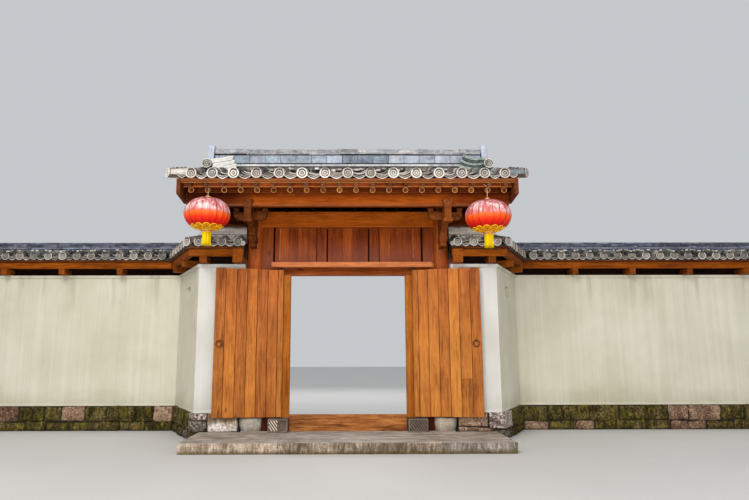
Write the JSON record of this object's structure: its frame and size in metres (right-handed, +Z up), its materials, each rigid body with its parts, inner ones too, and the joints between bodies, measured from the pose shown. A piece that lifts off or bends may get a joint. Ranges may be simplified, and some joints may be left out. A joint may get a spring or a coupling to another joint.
{
  "type": "roofed timber courtyard gateway with plank doors and garden walls",
  "caption": "Tile-roofed timber courtyard gateway with open plank door leaves, ring pulls and red lanterns, set between white garden walls.",
  "frame": {"origin": "on the ground under the middle of the gateway, in the plane of the column axes", "axes": "+X along the wall to the right of someone in the courtyard, +Y through the gateway away from the courtyard, +Z up"},
  "size_m": [16, 3.45, 5.06],
  "materials": {
    "frame_wood": "varnished, weathered",
    "light_wood": "varnished",
    "door_wood": "oiled planks",
    "slab_stone": "rough, mossy",
    "granite": "dressed",
    "rubble_stone": "rough",
    "white_plaster": "limewashed plaster",
    "clay_tile": "matt grey clay, weathered",
    "iron": "dark, worn",
    "red_cloth": "satin",
    "yellow_yarn": "matt"
  },
  "bodies": {
    "gateway": {"front_step_slab": "slab_stone", "gate_floor_slab": "slab_stone", "threshold": "door_wood", "pivot_stones": "granite", "column_bases": "granite", "columns": "frame_wood", "door_jambs": "frame_wood", "door_head": "frame_wood", "pivot_rail": "light_wood", "side_panels": "frame_wood", "transom_panel": "frame_wood", "tie_beam": "light_wood", "brackets": "light_wood", "purlins": "light_wood", "king_posts": "frame_wood", "round_rafters": "light_wood", "flying_rafters": "light_wood", "roof_boards": "frame_wood", "eave_fascias": "light_wood", "roof_tiles": "clay_tile", "main_ridge": "clay_tile", "ridge_end_tiles": "clay_tile", "corner_ridges": "clay_tile", "verge_tiles": "clay_tile", "bargeboards": "light_wood", "wing_piers": "white_plaster", "splay_walls": "white_plaster", "side_walls": "white_plaster", "stone_plinths": "rubble_stone", "coping_timbers": "light_wood", "coping_tiles": "clay_tile", "coping_ridges": "clay_tile", "lantern_hooks": "iron"},
    "left_leaf": {"left_door_leaf": "door_wood", "left_ring_staple": "iron"},
    "right_leaf": {"right_door_leaf": "door_wood", "right_ring_staple": "iron"},
    "left_ring": {"left_ring_pull": "iron"},
    "right_ring": {"right_ring_pull": "iron"},
    "left_lamp": {"left_lantern": "red_cloth", "left_lantern_wire": "iron", "left_lantern_tassel": "yellow_yarn"},
    "right_lamp": {"right_lantern": "red_cloth", "right_lantern_wire": "iron", "right_lantern_tassel": "yellow_yarn"}
  },
  "joints": [
    {"name": "left_leaf_hinge", "type": "hinge", "parent": "gateway", "child": "left_leaf", "pos_m": [-1.11, -0.15, 0.36], "axis": [0, 0, 1], "range_deg": [0, 173]},
    {"name": "right_leaf_hinge", "type": "hinge", "parent": "gateway", "child": "right_leaf", "pos_m": [1.11, -0.15, 0.36], "axis": [0, 0, 1], "range_deg": [-173, 0]},
    {"name": "left_ring_hinge", "type": "hinge", "parent": "left_leaf", "child": "left_ring", "pos_m": [-2.10723, -0.31577, 1.615], "axis": [-0.9925, -0.1219, 0], "range_deg": [0, 100]},
    {"name": "right_ring_hinge", "type": "hinge", "parent": "right_leaf", "child": "right_ring", "pos_m": [2.10723, -0.31577, 1.615], "axis": [-0.9925, 0.1219, 0], "range_deg": [0, 100]},
    {"name": "left_lantern_swing", "type": "hinge", "parent": "gateway", "child": "left_lamp", "pos_m": [-2.19225, -1.12, 3.97189], "axis": [0, 1, 0], "range_deg": [-8, 8]},
    {"name": "right_lantern_swing", "type": "hinge", "parent": "gateway", "child": "right_lamp", "pos_m": [2.19225, -1.12, 3.97189], "axis": [0, 1, 0], "range_deg": [-8, 8]}
  ]
}
